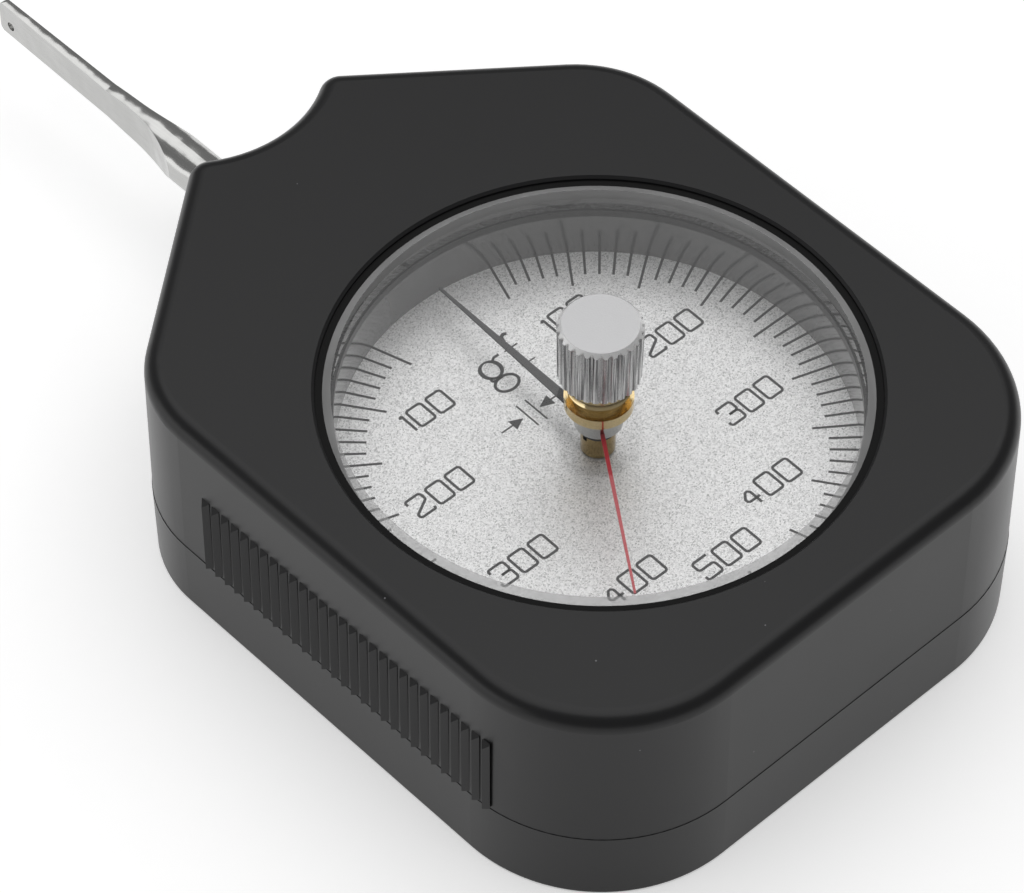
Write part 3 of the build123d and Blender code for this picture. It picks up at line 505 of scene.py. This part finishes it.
def division_mark():
    """One division is 10 gf: two lines with an arrow on each side, and the value."""
    y, line, bar_height, head_width = 7.1, 0.17, 3.1, 1.3
    left_tip, left_tail, left_head = -2.88, -5.56, 1.3
    right_tip, right_tail, right_head = -0.83, 1.93, 1.44
    strokes = arrow_strokes((left_tip, y), (left_tail, y), left_head, head_width, line)
    strokes += arrow_strokes((right_tip, y), (right_tail, y), right_head, head_width, line)
    for x in (-2.35, -1.24):
        bar = [Vector((x, y - bar_height / 2)), Vector((x, y + bar_height / 2))]
        strokes.append(ink_stroke(bar, [line] * 2))
    value_x = 4.0
    printed("division_mark", strokes + numeral_strokes("10", value_x, y))


def grown(name, tree, sizes):
    """Plain mesh that a node tree makes with the given sizes."""
    seed = bpy.data.objects.new(name + "_seed", bpy.data.meshes.new(name + "_seed"))
    scene.collection.objects.link(seed)
    modifier = seed.modifiers.new(name, "NODES")
    modifier.node_group = tree
    for item in tree.interface.items_tree:
        if item.in_out == "INPUT" and item.name in sizes:
            modifier[item.identifier] = sizes[item.name]
    graph = bpy.context.evaluated_depsgraph_get()
    mesh = bpy.data.meshes.new_from_object(seed.evaluated_get(graph))
    mesh.name = name
    bpy.data.objects.remove(seed)
    return mesh


def dial_ticks():
    """The scale's lines, set round the dial by a node tree."""
    tree = bpy.data.node_groups.new("graduations", "GeometryNodeTree")
    sizes = {
        "Count": TICK_COUNT, "First": FIRST_TICK, "Per long": TICKS_PER_LONG, "Pitch": TICK_PITCH,
        "Turn": DIAL_TURN, "Radius": TICK_OUTER_RADIUS * MM, "Short": SHORT_TICK_LENGTH * MM,
        "Long": LONG_TICK_LENGTH * MM, "Width": TICK_WIDTH * MM, "Thickness": INK_THICKNESS * MM,
        "Face": dial_face,
    }
    for name, value in sizes.items():
        kind = "NodeSocketInt" if isinstance(value, int) else "NodeSocketFloat"
        tree.interface.new_socket(name, in_out="INPUT", socket_type=kind)
    tree.interface.new_socket("Geometry", in_out="OUTPUT", socket_type="NodeSocketGeometry")
    given = add(tree, "NodeGroupInput").outputs
    index = add(tree, "GeometryNodeInputIndex")
    number = add(tree, "ShaderNodeMath", {0: index, 1: given["First"]})
    angle = add(tree, "ShaderNodeMath", {0: number, 1: given["Pitch"], 2: given["Turn"]},
                operation="MULTIPLY_ADD")
    across = add(tree, "ShaderNodeMath", {0: angle}, operation="SINE")
    along = add(tree, "ShaderNodeMath", {0: angle}, operation="COSINE")
    inward = add(tree, "ShaderNodeMath", {0: across, 1: -1.0}, operation="MULTIPLY")
    outward = add(tree, "ShaderNodeCombineXYZ", {0: inward, 1: along})
    left_over = add(tree, "ShaderNodeMath", {0: number, 1: given["Per long"]}, operation="MODULO")
    is_long = add(tree, "ShaderNodeMath", {0: left_over, 1: 0.5}, operation="LESS_THAN")
    length = add(tree, "GeometryNodeSwitch",
                 {"Switch": is_long, "False": given["Short"], "True": given["Long"]},
                 input_type="FLOAT")
    middle = add(tree, "ShaderNodeMath", {0: length, 1: -0.5, 2: given["Radius"]},
                 operation="MULTIPLY_ADD")
    rise = add(tree, "ShaderNodeMath", {0: given["Thickness"], 1: 0.5, 2: given["Face"]},
               operation="MULTIPLY_ADD")
    flat = add(tree, "ShaderNodeVectorMath", {0: outward, "Scale": middle}, operation="SCALE")
    upright = add(tree, "ShaderNodeCombineXYZ", {2: rise})
    place = add(tree, "ShaderNodeVectorMath", {0: flat, 1: upright})
    points = add(tree, "GeometryNodePoints", {"Count": given["Count"], "Position": place})
    section = add(tree, "ShaderNodeCombineXYZ", {0: given["Width"], 1: 1.0, 2: given["Thickness"]})
    bar = add(tree, "GeometryNodeMeshCube", {"Size": section})
    scale = add(tree, "ShaderNodeCombineXYZ", {0: 1.0, 1: length, 2: 1.0})
    turned = add(tree, "ShaderNodeCombineXYZ", {2: angle})
    bars = add(tree, "GeometryNodeInstanceOnPoints",
               {"Points": points, "Instance": bar, "Rotation": turned, "Scale": scale})
    real = add(tree, "GeometryNodeRealizeInstances", {"Geometry": bars})
    inked = add(tree, "GeometryNodeSetMaterial", {"Geometry": real, "Material": ink})
    add(tree, "NodeGroupOutput", {"Geometry": inked})
    print_on_dial("dial_ticks", grown("dial_ticks", tree, sizes))


# ---- Finishes of the CAD pieces --------------------------------------------------------
def finish_nodes(material, *names):
    """Gives CAD pieces one finish."""
    for name in names:
        mesh = nodes[name].data
        mesh.materials.clear()
        mesh.materials.append(material)


finish_nodes(spark_textured_abs(), "upper_housing", "back_cover")
finish_nodes(etched_silver(), "dial_plate")
finish_nodes(polished_grey_abs(), "dial_ring")
finish_nodes(clear_acrylic(), "lens")
finish_nodes(moulded_rubber(), "lens_seal")
finish_nodes(turned_metal("turned_brass", "#e6d5b0", "#d2b983", 0.12, 0.12, 0.01),
             "lens_bushing", "bushing_nut")
finish_nodes(knurled_aluminium(), "reset_knob")
finish_nodes(polished_nickel(), "measuring_lever", "drag_hub")
finish_nodes(baked_enamel("grey_enamel", "#3d3d3f", "#434345", 0.5), "main_pointer")
finish_nodes(baked_enamel("red_enamel", "#c4343f", "#cf414c", 0.35), "drag_pointer")
finish_nodes(turned_metal("machined_brass", "#c9a04c", "#b58a38", 0.25, 0.2, 0.01),
             "hairspring_collet", "hairspring_stud", "dial_feet", "front_plate",
             "rear_plate", "pillars", "sector_gear")
finish_nodes(turned_metal("tarnished_brass", "#b8a272", "#6b5736", 0.13, 0.3, 0.02), "pointer_hub")
finish_nodes(turned_metal("phosphor_bronze", "#b0773f", "#9a6431", 0.3, 0.2, 0.01),
             "pointer_front_bush", "pointer_rear_bush", "hairspring")
finish_nodes(turned_metal("lever_bush_bronze", "#b0773f", "#9a6431", 0.3, 0.2, 0.01, lever_pivot),
             "lever_front_bush", "lever_rear_bush")
finish_nodes(turned_metal("turned_steel", "#c2c3c6", "#b2b3b7", 0.25, 0.15, 0.006),
             "front_plate_screws", "rear_plate_screws", "movement_screws", "stop_pins",
             "spring_post", "friction_washer", "pointer_arbor", "pinion", "peak_shaft")
finish_nodes(turned_metal("lever_steel", "#c2c3c6", "#b2b3b7", 0.25, 0.15, 0.006, lever_pivot),
             "lever_hub", "lever_arbor", "sector_rivets", "drive_pin")
finish_nodes(turned_metal("drawn_spring_wire", "#8d8e92", "#7f8084", 0.3, 0.1, 0.004, lever_pivot),
             "centring_spring")
finish_nodes(turned_metal("blackened_steel", "#3a3a3c", "#2c2c2e", 0.4, 0.15, 0.008),
             "case_screws", "lever_set_screw")

dial_ticks()
dial_numerals()
unit_letters()
division_mark()


# ---- Stage, light and camera -----------------------------------------------------------
FLOOR_LIFT = 0.42                  # what is added to the floor's own light where it is seen
FLOOR_HALF = 2.0                   # metres from the gauge to the board's edges
FLOOR_DROP = 0.02 * MM             # keeps the floor off the gauge's back face
ROOM_LIGHT = 0.25                  # plain light from all sides, of which 1 is white


def floor():
    """White board that the gauge lies on. It shows as white, apart from the gauge's shadow, and
    it is clear from below, so that the gauge's back shows there."""
    material, tree, at = new_material("white_board")
    fibre = add(tree, "ShaderNodeTexNoise", {"Vector": at, "Scale": per_metre(2.0), "Detail": 2})
    colour = add(tree, "ShaderNodeMix",
                 {"Factor": fibre, "A": srgb("#f0f0f0"), "B": srgb("#f3f3f3")}, data_type="RGBA")
    paper = add(tree, "ShaderNodeBsdfPrincipled",
                {"Base Color": colour, "Roughness": 0.9, "Specular IOR Level": 0.0})
    path = add(tree, "ShaderNodeLightPath")
    seen = add(tree, "ShaderNodeMath",
               {0: path.outputs["Is Camera Ray"], 1: path.outputs["Is Glossy Ray"]},
               operation="MAXIMUM")
    shown = add(tree, "ShaderNodeMath", {0: seen, 1: path.outputs["Is Transmission Ray"]},
                operation="MAXIMUM")
    lift = add(tree, "ShaderNodeMath", {0: shown, 1: FLOOR_LIFT}, operation="MULTIPLY")
    glow = add(tree, "ShaderNodeEmission", {"Color": srgb("#ffffff"), "Strength": lift})
    both = add(tree, "ShaderNodeAddShader", {0: paper, 1: glow})
    underside = add(tree, "ShaderNodeNewGeometry").outputs["Backfacing"]
    let_through = add(tree, "ShaderNodeMath", {0: underside, 1: path.outputs["Is Shadow Ray"]},
                      operation="MAXIMUM")
    clear = add(tree, "ShaderNodeBsdfTransparent")
    shader = add(tree, "ShaderNodeMixShader", {0: let_through, 1: both, 2: clear})
    add(tree, "ShaderNodeOutputMaterial", {"Surface": shader})
    mesh = bpy.data.meshes.new("floor")
    corners = [(x * FLOOR_HALF, y * FLOOR_HALF, -FLOOR_DROP)
               for x, y in ((-1, -1), (1, -1), (1, 1), (-1, 1))]
    mesh.from_pydata(corners, [], [(0, 1, 2, 3)])
    mesh.materials.append(material)
    board = bpy.data.objects.new("floor", mesh)
    scene.collection.objects.link(board)


def softbox(name, azimuth, elevation, distance, width, height, brightness):
    """Soft rectangular lamp aimed at the gauge. Azimuth 0 is in front, towards -Y, and 90
    towards +X. Brightness 1 looks white."""
    turn, rise = math.radians(azimuth), math.radians(elevation)
    way = Vector((math.sin(turn) * math.cos(rise), -math.cos(turn) * math.cos(rise),
                  math.sin(rise)))
    lamp = bpy.data.lights.new(name, "AREA")
    lamp.shape = "RECTANGLE"
    lamp.size, lamp.size_y = width, height
    lamp.energy = math.pi * width * height * brightness
    box = bpy.data.objects.new(name, lamp)
    box.location = way * distance
    box.rotation_euler = way.to_track_quat("Z", "Y").to_euler()
    scene.collection.objects.link(box)


def room():
    """Plain grey room round the table."""
    world = bpy.data.worlds.new("studio")
    world.use_nodes = True
    tree = world.node_tree
    tree.nodes.clear()
    grey = add(tree, "ShaderNodeBackground", {"Color": srgb("#ffffff"), "Strength": ROOM_LIGHT})
    add(tree, "ShaderNodeOutputWorld", {"Surface": grey})
    scene.world = world


def camera():
    """Camera at the gauge's left front corner, looking down at it."""
    back = Vector((math.sin(VIEW_AZIMUTH) * math.cos(VIEW_ELEVATION),
                   -math.cos(VIEW_AZIMUTH) * math.cos(VIEW_ELEVATION), math.sin(VIEW_ELEVATION)))
    level = Vector((math.cos(VIEW_AZIMUTH), math.sin(VIEW_AZIMUTH), 0))
    up = back.cross(level)
    right = level * math.cos(VIEW_ROLL) + up * math.sin(VIEW_ROLL)
    up = back.cross(right)
    data = bpy.data.cameras.new("camera")
    data.lens = VIEW_LENS
    data.sensor_width = VIEW_SENSOR_WIDTH
    data.clip_start, data.clip_end = VIEW_NEAR, VIEW_FAR
    eye = bpy.data.objects.new("camera", data)
    turned = Matrix((right, up, back)).transposed().to_4x4()
    eye.matrix_world = Matrix.Translation(VIEW_AIM + back * VIEW_DISTANCE) @ turned
    scene.collection.objects.link(eye)
    scene.camera = eye


floor()
room()
softbox("ceiling_softbox", azimuth=136.7, elevation=78, distance=1.0, width=1.3, height=1.3,
        brightness=1.25)
softbox("side_softbox", azimuth=-118, elevation=10, distance=1.0, width=1.2, height=0.35,
        brightness=1.3)
camera()
scene.view_settings.view_transform = "Standard"
